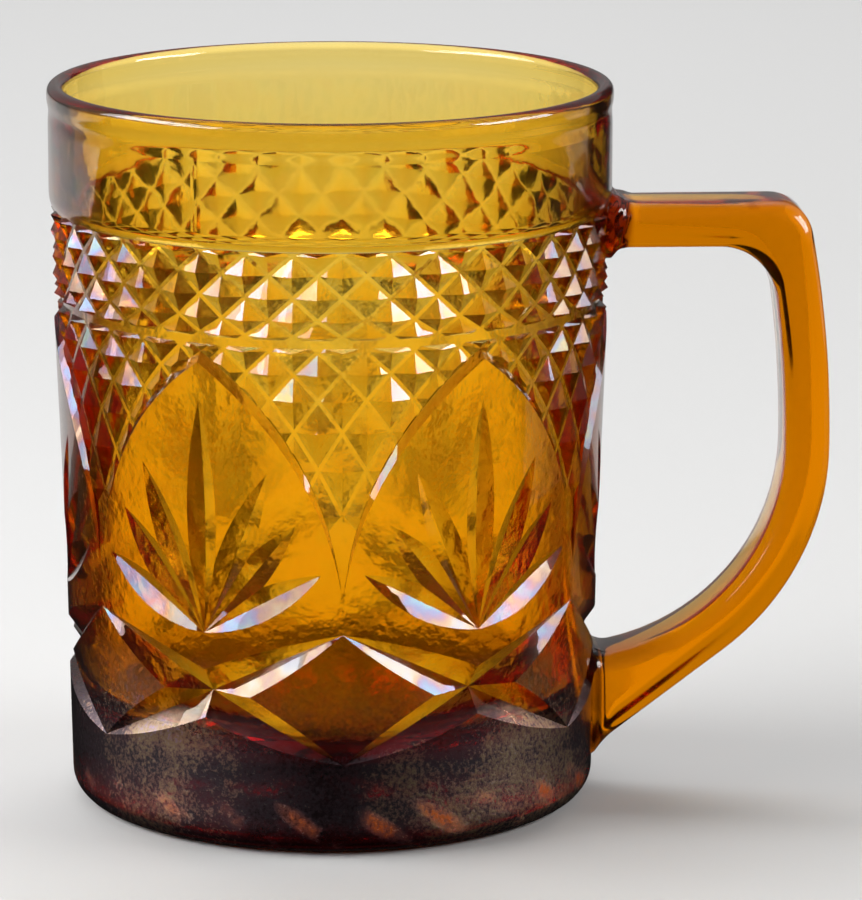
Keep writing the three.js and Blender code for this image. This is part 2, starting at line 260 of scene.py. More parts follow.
# mottled lustre of the base band; its darkness is painted shade
depositAndShade = {
    "colours": [(0.36, (0.065, 0.046, 0.05)), (0.46, (0.16, 0.11, 0.13)), (0.51, (0.12, 0.11, 0.127)),
                (0.57, (0.46, 0.29, 0.25)), (0.63, (0.66, 0.50, 0.29)), (0.72, (0.57, 0.44, 0.66))],
    "clouds": 0.52, "speckle": 0.48, "lobes": 4.0, "swing": 0.08,  # what the mottling is mixed from; the swing is a painted sheen, lighter 45 degrees either side of the front and the back
    "cover": (0.93, 0.985), "footTop": (0.0004, 0.006), "footCover": 0.62,
    "roughness": 0.46, "gloss": 0.05, "grainDepth": 0.00008,
}
paintedGlow = {  # painted light: the glow caught by the rays of the underside, painted into the deposit's colour, dimmer on the left
    "colour": (0.62, 0.11, 0.003),
    "step": math.radians(15), "middle": 0.0045, "lean": 34.0, "halfTurn": 0.075, "halfHeight": 0.0038,
    "patches": (0.44, 0.6), "patchShare": 0.8, "grain": (0.35, 0.6), "grainShare": 0.35,
    "litX": (-0.03, 0.02), "dim": 0.5, "tint": (0.03, 0.6), "tintShare": 0.9,
}
gripGlass = {
    "tint": (0.87, 0.96, 0.85), "waves": (120, 1), "waveDepth": 0.00004,
    "smears": (300, 4, 0.6), "smearSpread": (0.4, 0.75), "roughness": (0.1, 0.16),
    "jointShadeAndMark": (0.24, 0.075, 0.03),  # painted shade on the squeezed-out glass at the upper joint, also the colour of the tool mark
    "jointX": (0.0412, 0.0428), "jointZ": (0.06, 0.065),
    "markPlace": (0.0592, -0.0042, 0.0852),  # small tool mark on the arm
    "markSpread": (0.3, 0.7), "markReach": (0.0007, 0.0021), "markRagged": 0.0007, "markShare": 0.9,
}


def startGlass(name):
    material = bpy.data.materials.new(name)
    material.use_nodes = True
    tree = material.node_tree
    tree.nodes.clear()
    out = nodeIn(tree, "ShaderNodeOutputMaterial")
    body = nodeIn(tree, "ShaderNodeBsdfPrincipled")
    depth = nodeIn(tree, "ShaderNodeVolumeAbsorption")
    body.inputs["Base Color"].default_value = (1, 1, 1, 1)
    setInputs(body, Transmission_Weight=1, IOR=glass["ior"])
    depth.inputs["Color"].default_value = (*glass["amber"], 1)
    depth.inputs["Density"].default_value = glass["density"]
    tree.links.new(body.outputs["BSDF"], out.inputs["Surface"])
    tree.links.new(depth.outputs["Volume"], out.inputs["Volume"])
    return material, tree, body, out


def placeIn(tree, kind="Object"):
    where = nodeIn(tree, "ShaderNodeTexCoord").outputs[kind]
    split = nodeIn(tree, "ShaderNodeSeparateXYZ")
    tree.links.new(where, split.inputs["Vector"])
    return where, split.outputs


def noiseIn(tree, where, scale, detail, roughness=0.5):
    cloud = nodeIn(tree, "ShaderNodeTexNoise")
    setInputs(cloud, Scale=scale, Detail=detail, Roughness=roughness)
    tree.links.new(where, cloud.inputs["Vector"])
    return cloud.outputs["Fac"]


def ranged(tree, source, fromMin, fromMax, toMin, toMax):
    step = nodeIn(tree, "ShaderNodeMapRange")
    for name, value in (("From Min", fromMin), ("From Max", fromMax), ("To Min", toMin), ("To Max", toMax)):
        step.inputs[name].default_value = value
    tree.links.new(source, step.inputs["Value"])
    return step.outputs["Result"]


def combined(tree, operation, first, second=0.0):
    step = nodeIn(tree, "ShaderNodeMath", operation=operation)
    for socket, value in zip(step.inputs, (first, second)):
        if isinstance(value, (int, float)):
            socket.default_value = value
        else:
            tree.links.new(value, socket)
    return step.outputs["Value"]


def multiplied(tree, first, *others):
    for other in others:
        first = combined(tree, "MULTIPLY", first, other)
    return first


def bumped(tree, height, distance, strength=1.0, under=None):
    bump = nodeIn(tree, "ShaderNodeBump")
    bump.inputs["Distance"].default_value = distance
    tree.links.new(height, bump.inputs["Height"])
    if isinstance(strength, float):
        bump.inputs["Strength"].default_value = strength
    else:
        tree.links.new(strength, bump.inputs["Strength"])
    if under:
        tree.links.new(under, bump.inputs["Normal"])
    return bump.outputs["Normal"]


def colourRamp(tree, source, stops):
    ramp = nodeIn(tree, "ShaderNodeValToRGB")
    elements = ramp.color_ramp.elements
    elements[0].position, elements[1].position = stops[0][0], stops[-1][0]
    for place, _ in stops[1:-1]:
        elements.new(place)
    for element, (_, colour) in zip(elements, stops):
        element.color = (*colour, 1)
    tree.links.new(source, ramp.inputs["Fac"])
    return ramp.outputs["Color"]


def mixedColour(tree, share, first, second):  # each a colour or the socket of one
    mix = nodeIn(tree, "ShaderNodeMix", data_type="RGBA")
    tree.links.new(share, mix.inputs["Factor"])
    for name, colour in (("A", first), ("B", second)):
        if isinstance(colour, tuple):
            mix.inputs[name].default_value = (*colour, 1)
        else:
            tree.links.new(colour, mix.inputs[name])
    return mix.outputs["Result"]


def mixedShader(tree, share, first, second):
    mix = nodeIn(tree, "ShaderNodeMixShader")
    tree.links.new(share, mix.inputs["Fac"])
    tree.links.new(first, mix.inputs[1])
    tree.links.new(second, mix.inputs[2])
    return mix.outputs["Shader"]


def mouldSeam(tree, around, height, mask):
    step = coat["seamStep"]
    turned = combined(tree, "FLOORED_MODULO", combined(tree, "ADD", around, coat["seamTurn"]), step)
    aside = combined(tree, "ABSOLUTE", combined(tree, "SUBTRACT", turned, step / 2))
    above = ranged(tree, height, *coat["seamFoot"], 0, 1)
    ridge = multiplied(tree, ranged(tree, aside, *coat["seamHalf"], 1, 0), above, mask)
    return bumped(tree, ridge, coat["seamLift"])


def paintedGlowShare(tree, place, around, patches, speckle):  # painted glow: slanted petals of light round the foot
    raised = combined(tree, "SUBTRACT", place["Z"], paintedGlow["middle"])
    leant = combined(tree, "ADD", around, multiplied(tree, raised, paintedGlow["lean"]))
    turned = combined(tree, "FLOORED_MODULO", leant, paintedGlow["step"])
    aside = combined(tree, "DIVIDE", combined(tree, "SUBTRACT", turned, paintedGlow["step"] / 2), paintedGlow["halfTurn"])
    aloft = combined(tree, "DIVIDE", raised, paintedGlow["halfHeight"])
    petal = combined(tree, "ADD", multiplied(tree, aside, aside), multiplied(tree, aloft, aloft))
    return multiplied(
        tree, ranged(tree, petal, 0, 1, 1, 0),
        ranged(tree, patches, *paintedGlow["patches"], 0, paintedGlow["patchShare"]),
        ranged(tree, speckle, *paintedGlow["grain"], paintedGlow["grainShare"], 1),
        ranged(tree, place["X"], *paintedGlow["litX"], paintedGlow["dim"], 1))


def depositAndShadeShader(tree, around, clouds, speckle, paintedGlows):  # mottled lustre of the base band, darkened as painted shade, with the painted glow of the underside in its colour
    mottle = combined(tree, "ADD", multiplied(tree, clouds, depositAndShade["clouds"]),
                      multiplied(tree, speckle, depositAndShade["speckle"]))
    swing = combined(tree, "COSINE", multiplied(tree, around, depositAndShade["lobes"]))
    mottle = combined(tree, "SUBTRACT", mottle, multiplied(tree, swing, depositAndShade["swing"]))
    tint = ranged(tree, paintedGlows, *paintedGlow["tint"], 0, paintedGlow["tintShare"])
    colour = mixedColour(tree, tint, colourRamp(tree, mottle, depositAndShade["colours"]), paintedGlow["colour"])
    skin = nodeIn(tree, "ShaderNodeBsdfPrincipled")
    setInputs(skin, Roughness=depositAndShade["roughness"], Specular_IOR_Level=depositAndShade["gloss"])
    tree.links.new(colour, skin.inputs["Base Color"])
    tree.links.new(ranged(tree, paintedGlows, 0, 1, 1, 0), skin.inputs["Metallic"])
    tree.links.new(bumped(tree, speckle, depositAndShade["grainDepth"]), skin.inputs["Normal"])
    return skin.outputs["BSDF"]


# dark reflective skin: painted shade at the edges and on the handle's side
def edgeShadeShader(tree, x):
    skin = nodeIn(tree, "ShaderNodeBsdfPrincipled")
    setInputs(skin, Metallic=1.0, Roughness=coat["edgeShadeRoughness"])
    colour = mixedColour(tree, ranged(tree, x, *coat["handleSideShadeX"], 0, 1), coat["edgeShade"], coat["handleSideShade"])
    tree.links.new(colour, skin.inputs["Base Color"])
    return skin.outputs["BSDF"]


def lustredGlass():  # iridescent film outside, mottled lustre and painted shade on the base band and above it, painted glow at the foot, painted shade at the edges, rippled bowl
    material, tree, body, out = startGlass("lustredAmberGlass")
    where, place = placeIn(tree)
    height = place["Z"]
    patches, clouds, speckle, waves, ripples = [noiseIn(tree, where, *kind) for kind in noises.values()]
    around = combined(tree, "ARCTAN2", place["X"], multiplied(tree, place["Y"], -1.0))
    front = ranged(tree, nodeIn(tree, "ShaderNodeNewGeometry").outputs["Backfacing"], 0, 1, 1, 0)
    zone = nodeIn(tree, "ShaderNodeAttribute", attribute_name="lustre").outputs["Fac"]
    inside = ranged(tree, zone, 0.0, 0.1, 1, 0)  # the bowl alone
    filmed = ranged(tree, zone, 0.05, 0.12, 0, 1)  # all but the bowl
    wallOnly = ranged(tree, zone, 0.5, 0.7, 0, 1)  # lands and cuts
    landOnly = ranged(tree, zone, 0.85, 0.95, 0, 1)
    wander = ranged(tree, patches, *coat["patchSpread"], -coat["bandWander"], coat["bandWander"])
    edge = combined(tree, "ADD", height, wander)
    band = multiplied(tree, ranged(tree, edge, *coat["bandTop"], 1, 0), wallOnly)

    film = ranged(tree, patches, *coat["patchSpread"], *coat["film"])
    tree.links.new(multiplied(tree, film, zone), body.inputs["Thin Film Thickness"])
    body.inputs["Thin Film IOR"].default_value = coat["filmIor"]
    rippled = multiplied(tree, inside, ranged(tree, height, *coat["rippleTop"], 1, coat["rippleAbove"]))
    satin = multiplied(tree, ranged(tree, speckle, *coat["speckleSpread"], *coat["satin"]), band)
    blur = combined(tree, "ADD", multiplied(tree, rippled, coat["bowlBlur"]), coat["polish"])
    tree.links.new(combined(tree, "ADD", satin, blur), body.inputs["Roughness"])
    wavy = bumped(tree, waves, coat["waveDepth"], 1.0, mouldSeam(tree, around, height, wallOnly))
    uneven = combined(tree, "POWER", rippled, coat["ripplePower"])
    tree.links.new(bumped(tree, ripples, coat["rippleDepth"], uneven, wavy), body.inputs["Normal"])

    # deposit on the base band: mottled lustre and painted shade
    cover = multiplied(tree, band, ranged(tree, height, *depositAndShade["footTop"], depositAndShade["footCover"], 1),
                       ranged(tree, speckle, *coat["speckleSpread"], *depositAndShade["cover"]))
    # painted shade above the band, over the thick glass, drawn with the deposit
    veil = multiplied(tree, ranged(tree, height, *coat["veilTop"], coat["veil"], 0), landOnly,
                      ranged(tree, speckle, *coat["veilSpread"], coat["veilThin"], 1))
    cutVeil = multiplied(tree, ranged(tree, height, *coat["cutVeilTop"], coat["veil"], 0), wallOnly)
    thin = multiplied(tree, combined(tree, "MAXIMUM", veil, cutVeil), front)
    # painted glow of the underside's rays
    paintedGlows = paintedGlowShare(tree, place, around, patches, speckle)
    covered = mixedShader(tree, combined(tree, "MAXIMUM", cover, thin), body.outputs["BSDF"],
                          depositAndShadeShader(tree, around, clouds, speckle, paintedGlows))

    # painted shade where the wall is seen edge on, and on the handle's side
    facing = nodeIn(tree, "ShaderNodeLayerWeight").outputs["Facing"]
    edgeOn = multiplied(tree, ranged(tree, facing, *coat["edgeShadeFacing"], 0, coat["edgeShadeShare"]), filmed)
    heavyShade = multiplied(tree, ranged(tree, place["X"], *coat["heavyShadeX"], 0, coat["heavyShadeShare"]), wallOnly)
    edgeShading = multiplied(tree, combined(tree, "MAXIMUM", edgeOn, heavyShade), front)
    tree.links.new(mixedShader(tree, edgeShading, covered, edgeShadeShader(tree, place["X"])), out.inputs["Surface"])
    return material


def clearGlass():  # handle, pressed by itself and left without the film
    material, tree, body, _ = startGlass("clearAmberGlass")
    where, place = placeIn(tree)
    waves = noiseIn(tree, where, *gripGlass["waves"])
    smears = noiseIn(tree, where, *gripGlass["smears"])
    dull = ranged(tree, smears, *gripGlass["smearSpread"], *gripGlass["roughness"])
    tree.links.new(dull, body.inputs["Roughness"])
    tree.links.new(bumped(tree, waves, gripGlass["waveDepth"]), body.inputs["Normal"])
    # painted shade on the squeezed-out glass at the upper joint
    joint = multiplied(tree, ranged(tree, place["X"], *gripGlass["jointX"], 1, 0),
                       ranged(tree, place["Z"], *gripGlass["jointZ"], 0, 1))
    mark = nodeIn(tree, "ShaderNodeVectorMath", operation="DISTANCE")
    tree.links.new(where, mark.inputs[0])
    mark.inputs[1].default_value = gripGlass["markPlace"]
    wander = ranged(tree, smears, *gripGlass["markSpread"], -gripGlass["markRagged"], gripGlass["markRagged"])
    ragged = combined(tree, "ADD", mark.outputs["Value"], wander)
    spot = ranged(tree, ragged, *gripGlass["markReach"], gripGlass["markShare"], 0)
    dark = combined(tree, "MAXIMUM", joint, spot)
    tree.links.new(mixedColour(tree, dark, gripGlass["tint"], gripGlass["jointShadeAndMark"]), body.inputs["Base Color"])
    return material


bodyGlass = lustredGlass()
handleGlass = clearGlass()
print("glass mixed")


# Mug body. The pattern is laid out flat, as one half of a panel: u sideways from the line between
# two arches to the middle of an arch, z up, and the lift above the land. Then it is wrapped.

_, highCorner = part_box("mug_body")
wall = {
    "height": highCorner.z / mm,
    "lipRadius": highCorner.y / mm,
    "footRadius": 37.4,
    "waistRadius": 37.95,
    "shoulderRadius": 39.35,
    "bandRadius": 39.85,
    "baseCorner": 4.0,
    "archSpring": 33.4,
    "spandrelTop": 71.5,
    "bandBottom": 87.6,
    "panels": 6,
    "columnAngle": 2.5,
    "overlap": 1.0,  # how far the flat slab runs past the half panel before it is trimmed
    "slab": 4.0,
    "flatAngle": 0.3, "creaseAngle": 11.0,  # degrees
    "weld": 0.0005, "copyWeld": 0.002,
    "touch": 0.02,  # a corner this near the land counts as on it
}
zones = {"land": 1.0, "cut": 0.8, "underside": 0.4, "lip": 0.15, "bowl": 0.0}  # lustre of each kind of face
belt = {
    "rows": [73.6, 75.8, 78.9, 82.0, 84.8],  # the first and last are half points on the borders
    "halfPitch": 5.0,  # degrees
    "columns": 6,
    "depth": 1.2,
    "furrow": 0.55,
    "blunting": 0.04,
    "skirt": 0.3,
    "bed": 0.2, "lid": 0.5,  # room for the points below their field and above the land
    "borderSlope": 0.45,
    "grooveTop": 85.2, "grooveInset": 0.2,
}
spandrel = {
    "firstDrop": 3.1, "stretch": 1.2, "rows": 6,
    "tip": 37.4, "tipLift": 0.05, "above": 2.0, "steps": 40,
}
arch = {
    "rise": 37.6, "arcRadius": 45.5, "groove": 1.15, "grooveDepth": 1.05,
    "tipRise": 4.6, "overrun": 1.5, "steps": 30,
}
fan = {
    "drop": 2.1, "halfWidth": 2.2, "depth": 1.15, "steps": 26,
    "leaves": [(0.0, 32.7), (22.5, 25.1), (40.0, 21.0), (61.7, 19.2)],  # lean and length
}
mitre = {"top": 31.9, "bottom": 13.3, "halfWidth": 3.1, "depth": 2.4, "steps": 36}
rays = {"inner": 9.0, "outer": 31.0, "halfWidth": 2.0, "depth": 1.2, "step": 15.0, "steps": 20}
bowl = {
    "floor": 12.5, "floorRadius": 32.6, "floorRing": 10.0, "fillet": 7.0,
    "lipRound": 1.2, "beadFoot": 97.4, "neck": (39.76, 99.3), "beadTop": 101.0,
}
halfPanel = math.radians(180 / wall["panels"]) * wall["waistRadius"]
halfDiamond = math.radians(belt["halfPitch"]) * wall["waistRadius"]
arcOffset = math.sqrt(arch["arcRadius"] ** 2 - arch["rise"] ** 2)
columns = round(180 / wall["panels"] / wall["columnAngle"])


def landAt(z):  # radius of the uncut wall
    heights = [wall["baseCorner"], wall["archSpring"], wall["spandrelTop"], wall["bandBottom"]]
    radii = [wall["footRadius"], wall["waistRadius"], wall["shoulderRadius"], wall["bandRadius"]]
    return np.interp(z, heights, radii)


def slopeAt(z):
    return (landAt(z + 0.01) - landAt(z - 0.01)) / 0.02


def prism(name, outline, lowU, highU):  # outline in z and lift, drawn out sideways
    points = [(u, z, lift) for u in (lowU, highU) for z, lift in outline]
    return loft(name, points, len(outline))


def keelCut(name, line, halfWidth, depth):  # V groove along u, z, direction and swell
    deck = depth / 2
    points = []
    for u, z, du, dz, swell in line:
        keel = -depth * swell
        half = (deck - keel) * halfWidth / depth
        points.append((u, z, keel))
        points.append((u - dz * half, z + du * half, deck))
        points.append((u + dz * half, z - du * half, deck))
    return loft(name, points, 3)


def spindleLine(start, end, steps, overrun=0.06):  # pointed at both ends
    run = Vector(end) - Vector(start)
    way = run.normalized()
    line = []
    for share in spread(-overrun, 1 + overrun, steps):
        here = Vector(start) + run * share
        line.append((here.x, here.y, way.x, way.y, 4 * share * (1 - share)))
    return line


def archLine(side):  # groove along one flank of the arch
    tip = math.asin(arch["tipRise"] / arch["arcRadius"])
    crown = math.asin(arch["rise"] / arch["arcRadius"])
    over = arch["overrun"] / arch["arcRadius"]
    line = []
    for turn in spread(tip - over, crown + over, arch["steps"]):
        share = (turn - tip) / (crown - tip)
        u = halfPanel + side * (arch["arcRadius"] * math.cos(turn) - arcOffset)
        z = wall["archSpring"] + arch["arcRadius"] * math.sin(turn)
        line.append((u, z, -side * math.sin(turn), math.cos(turn), share * (2 - share)))
    return line


def spandrelRows():
    rows, drop = [wall["spandrelTop"]], spandrel["firstDrop"]
    for _ in range(spandrel["rows"] - 1):
        rows.append(rows[-1] - drop)
        drop *= spandrel["stretch"]
    return rows


def spandrelRoom():  # sunk field between two arches, shallow towards its lower tip
    lowRow = spandrelRows()[-1]
    heights = spread(spandrel["tip"], wall["archSpring"] + arch["rise"], spandrel["steps"])
    above = spandrel["above"]
    points = []
    for z in heights + [wall["spandrelTop"] + 2 * belt["borderSlope"]]:
        swing = min(z - wall["archSpring"], arch["rise"])
        half = halfPanel + arcOffset - math.sqrt(arch["arcRadius"] ** 2 - swing ** 2)
        if z > heights[-1]:
            half += 2 * wall["overlap"]
        floor = np.interp(z, [spandrel["tip"], lowRow], [spandrel["tipLift"], -belt["depth"]])
        points += [(-half, z, floor), (half, z, floor), (half, z, above), (-half, z, above)]
    return loft("spandrelRoom", points, 4)


def diamondPoint(name, z, above, below):  # four-sided point on a skirt, with furrow room round it
    across = halfDiamond
    reach = math.hypot(across, (above + below) / 2)
    trim = 1 - belt["furrow"] / 2 * reach / (across * (above + below) / 2)
    ring = [(across, 0), (0, above), (-across, 0), (0, -below)]
    foot = -belt["depth"]
    points = [(0, z, -belt["blunting"])]
    points += [(u * trim, z + v * trim, foot) for u, v in ring]
    points += [(u * trim, z + v * trim, foot - belt["skirt"]) for u, v in ring]
    faces = [(0, 1 + i, 1 + (i + 1) % 4) for i in range(4)]
    faces += [(1 + i, 5 + i, 5 + (i + 1) % 4, 1 + (i + 1) % 4) for i in range(4)]
    faces.append((5, 6, 7, 8))
    return solidFrom(name, points, faces)


def diamondField(name, rows, firstIsEven, clip):
    ends = [2 * rows[0] - rows[1]] + rows + [2 * rows[-1] - rows[-2]]
    made = []
    for i, z in enumerate(rows):
        shift = 0 if (i % 2 == 0) == firstIsEven else halfDiamond
        near, far = ends[i], ends[i + 2]
        point = diamondPoint(f"{name}{i}", z, max(near, far) - z, z - min(near, far))
        made.append(applyTree(point, rowTree, {
            "Count": belt["columns"], "Pitch": 2 * halfDiamond,
            "First": -2 * halfDiamond + shift, "Glass": bodyGlass}))
    field = made[0]
    for other in made[1:]:
        carve(field, other, "UNION")
    return carve(field, clip, "INTERSECT")


def slabProfile():
    depth, slope = belt["depth"], belt["borderSlope"]
    low, high = wall["baseCorner"] - wall["overlap"], bowl["beadFoot"] + wall["overlap"]
    rounding = wall["bandBottom"] - belt["grooveTop"]
    edge = arc(0, 0, 1, -90, 0, 10)
    profile = [(low, -wall["slab"]), (low, 0), (wall["spandrelTop"], 0)]
    profile += [(wall["spandrelTop"] + slope, -depth), (belt["grooveTop"] - belt["grooveInset"], -depth)]
    profile += [(wall["bandBottom"] + rounding * s, depth * (c - 1)) for c, s in edge]
    return profile + [(high, 0), (high, -wall["slab"])]


def flatPanel():
    over, depth, slope = wall["overlap"], belt["depth"], belt["borderSlope"]
    lowU, highU = -over, halfPanel + over
    slab = prism("halfPanel", slabProfile(), lowU, highU)
    carve(slab, spandrelRoom(), "DIFFERENCE")
    top, bottom = wall["spandrelTop"], spandrel["tip"]
    bed, lid = -depth - belt["bed"], belt["lid"]
    wide = (lowU - 2 * over, highU + 2 * over)
    slant = slope + slope * belt["skirt"] / depth
    fieldClip = prism("fieldClip", [
        (bottom, bed), (top + slant, bed), (top, 0), (top, lid), (bottom, lid)], *wide)
    first, last = belt["rows"][0], belt["rows"][-1]
    beltClip = prism("beltClip", [
        (first - slant, bed), (last + slant, bed), (last, 0), (last, lid), (first, lid), (first, 0)], *wide)
    carve(slab, diamondField("field", spandrelRows(), True, fieldClip), "UNION")
    carve(slab, diamondField("belt", belt["rows"], False, beltClip), "UNION")
    for side in (-1, 1):
        carve(slab, keelCut("outline", archLine(side), arch["groove"], arch["grooveDepth"]), "DIFFERENCE")
    foot = (halfPanel, wall["archSpring"] - fan["drop"])
    for lean, length in fan["leaves"]:
        turn = math.radians(lean)
        tip = (foot[0] - length * math.sin(turn), foot[1] + length * math.cos(turn))
        leaf = keelCut("leaf", spindleLine(foot, tip, fan["steps"]), fan["halfWidth"], fan["depth"])
        carve(slab, leaf, "DIFFERENCE")
    for start, end in ((mitre["top"], mitre["bottom"]), (mitre["bottom"], mitre["top"])):
        line = spindleLine((0, start), (2 * halfPanel, end), mitre["steps"])
        carve(slab, keelCut("mitre", line, mitre["halfWidth"], mitre["depth"]), "DIFFERENCE")
    return slab


def sliced(form, place, way, drop=None):
    everything = list(form.verts) + list(form.edges) + list(form.faces)
    bmesh.ops.bisect_plane(form, geom=everything, dist=1e-5, plane_co=place, plane_no=way,
                           clear_outer=drop == "outer", clear_inner=drop == "inner")


def flatten(form):
    angle = math.radians(wall["flatAngle"])
    bmesh.ops.dissolve_limit(form, angle_limit=angle, verts=form.verts, edges=form.edges)


def trimmedPanel(slab):  # top faces only, cut into columns so that they can be wrapped
    form = bmesh.new()
    form.from_mesh(slab.data)
    flatten(form)
    sliced(form, (0, 0, 0), (1, 0, 0), "inner")
    sliced(form, (halfPanel, 0, 0), (1, 0, 0), "outer")
    sliced(form, (0, wall["baseCorner"], 0), (0, 1, 0), "inner")
    sliced(form, (0, bowl["beadFoot"], 0), (0, 1, 0), "outer")
    under = [face for face in form.faces if face.calc_center_median().z < -wall["slab"] + 0.1]
    bmesh.ops.delete(form, geom=under, context="FACES")
    for u in spread(0, halfPanel, columns)[1:-1]:
        sliced(form, (u, 0, 0), (1, 0, 0))
    for z in (wall["archSpring"], wall["spandrelTop"], wall["bandBottom"]):
        sliced(form, (0, z, 0), (0, 1, 0))
    bmesh.ops.remove_doubles(form, verts=form.verts, dist=wall["weld"])
    form.to_mesh(slab.data)
    form.free()
    return slab


def softNormals(mesh):  # normals of each face corner, split at the creases
    mesh.shade_smooth()
    mesh.set_sharp_from_angle(angle=math.radians(wall["creaseAngle"]))
    return [Vector(corner.vector) for corner in mesh.corner_normals]


wedge = {"points": [], "faces": [], "normals": [], "lustre": []}


def addToWedge(points, faces, normals, lustre):
    start = len(wedge["points"])
    wedge["points"] += points
    wedge["faces"] += [[start + i for i in face] for face in faces]
    wedge["normals"] += normals
    wedge["lustre"] += lustre if isinstance(lustre, list) else [lustre] * len(faces)


def roundAxis(angle, radius, z):
    return Vector((radius * math.sin(angle), -radius * math.cos(angle), z))


def wrapPanel(slab):
    mesh = slab.data
    flatNormals = softNormals(mesh)
    points, normals, faces = [], [], []
    for vertex in mesh.vertices:
        u, z, lift = vertex.co
        points.append(roundAxis(u / wall["waistRadius"], landAt(z) + lift, z))
    for face in mesh.polygons:
        faces.append(list(face.vertices))
        for corner in face.loop_indices:
            u, z, lift = mesh.vertices[mesh.loops[corner].vertex_index].co
            n = flatNormals[corner]
            angle = u / wall["waistRadius"]
            side = n.x * wall["waistRadius"] / (landAt(z) + lift)
            up = n.y - n.z * slopeAt(min(max(z, wall["baseCorner"] + wall["touch"]), bowl["beadFoot"]))
            outward = Vector((math.sin(angle), -math.cos(angle), 0)) * n.z
            sideways = Vector((math.cos(angle), math.sin(angle), 0)) * side
            normals.append((outward + sideways + Vector((0, 0, up))).normalized())
    lands = [all(abs(mesh.vertices[i].co.z) < wall["touch"] for i in face) for face in faces]
    addToWedge(points, faces, normals, [zones["land"] if land else zones["cut"] for land in lands])
    bpy.data.objects.remove(slab)


def addTurned(profile, lustre):  # smooth strip of the turned profile
    angles = [math.radians(a) for a in spread(0, 180 / wall["panels"], columns)]
    tangents = np.gradient(np.array(profile), axis=0)
    points = [roundAxis(a, r, z) for r, z in profile for a in angles]
    across = len(angles)
    faces, normals = [], []
    for i in range(len(profile) - 1):
        for j in range(across - 1):
            face = [(i, j), (i, j + 1), (i + 1, j + 1), (i + 1, j)]
            if profile[i + 1][0] == 0:
                face = face[:3]
            faces.append([across * row + col for row, col in face])
            for row, col in face:
                tr, tz = tangents[row]
                normals.append(roundAxis(angles[col], tz, -tr).normalized())
    addToWedge(points, faces, normals, lustre)


def addUnderside():  # rays pressed between the button and the standing ring
    rim = wall["footRadius"] - wall["baseCorner"]
    wide = 180 / wall["panels"]
    angles = [math.radians(a) for a in spread(-wall["columnAngle"], wide + wall["columnAngle"], columns + 2)]
    ring = [(0, 0)] + [(rim * math.sin(a), -rim * math.cos(a)) for a in angles]
    pie = loft("underside", [(x, y, z) for z in (0, wall["slab"]) for x, y in ring], len(ring))
    line = spindleLine((0, rays["inner"]), (0, rays["outer"]), rays["steps"])
    for i in range(round(wide / rays["step"]) + 1):
        ray = keelCut("ray", line, rays["halfWidth"], rays["depth"])
        turn = Matrix.Rotation(math.radians(i * rays["step"]), 4, "Z")
        ray.data.transform(turn @ Matrix.Diagonal((1, -1, -1, 1)))
        carve(pie, ray, "DIFFERENCE")
    form = bmesh.new()
    form.from_mesh(pie.data)
    flatten(form)
    sliced(form, (0, 0, 0), (1, 0, 0), "inner")
    edge = roundAxis(math.radians(wide), 1, 0)
    sliced(form, (0, 0, 0), (-edge.y, edge.x, 0), "outer")
    hidden = [face for face in form.faces if face.normal.z > -0.3]
    bmesh.ops.delete(form, geom=hidden, context="FACES")
    form.to_mesh(pie.data)
    form.free()
    mesh = pie.data
    points = [vertex.co.copy() for vertex in mesh.vertices]
    faces = [list(face.vertices) for face in mesh.polygons]
    addToWedge(points, faces, softNormals(mesh), zones["underside"])
    bpy.data.objects.remove(pie)


def lipProfile():
    edge, top = bowl["lipRound"], wall["lipRadius"]
    stations = [(wall["bandRadius"], bowl["beadFoot"]), bowl["neck"], (top, bowl["beadTop"])]
    rise = []
    for (lowR, lowZ), (highR, highZ) in zip(stations, stations[1:]):
        for s in spread(0, 1, 6)[:-1]:
            rise.append((blendTo(lowR, highR, s * s * (3 - 2 * s)), blendTo(lowZ, highZ, s)))
    return rise + [stations[-1]] + arc(top - edge, wall["height"] - edge, edge, 0, 180, 18)


def bowlProfile():
    edge = bowl["lipRound"]
    lip = (wall["lipRadius"] - 2 * edge, wall["height"] - edge)
    fillet = bowl["fillet"]
    turn = arc(bowl["floorRadius"] - fillet, bowl["floor"] + fillet, fillet, 0, -90, 12)
    sides = [(blendTo(lip[0], turn[0][0], s), blendTo(lip[1], turn[0][1], s)) for s in spread(0, 1, 12)]
    return sides[:-1] + turn + [(bowl["floorRing"], bowl["floor"]), (0.0, bowl["floor"])]


def aimNormals(mesh):  # the wedge's normals, turned and mirrored with its copies
    count = len(mesh.loops)
    made = np.zeros(count * 3)
    mesh.attributes["cutNormal"].data.foreach_get("vector", made)
    made = made.reshape(-1, 3)
    centres = np.zeros(len(mesh.polygons) * 3)
    mesh.polygons.foreach_get("center", centres)
    centres = centres.reshape(-1, 3)
    loopTotals = np.zeros(len(mesh.polygons), int)
    mesh.polygons.foreach_get("loop_total", loopTotals)
    half = 180 / wall["panels"]
    around = np.degrees(np.arctan2(centres[:, 0], -centres[:, 1])) % 360
    sector = np.floor(around / half).astype(int)
    mirrored = np.repeat(sector % 2 == 1, loopTotals)
    turn = np.radians(np.repeat((sector + 1) // 2 * 2 * half, loopTotals))
    x = np.where(mirrored, -made[:, 0], made[:, 0])
    aimed = np.stack([x * np.cos(turn) - made[:, 1] * np.sin(turn),
                      x * np.sin(turn) + made[:, 1] * np.cos(turn), made[:, 2]], 1)
    mesh.attributes.remove(mesh.attributes["cutNormal"])
    mesh.shade_smooth()
    mesh.normals_split_custom_set(aimed.tolist())


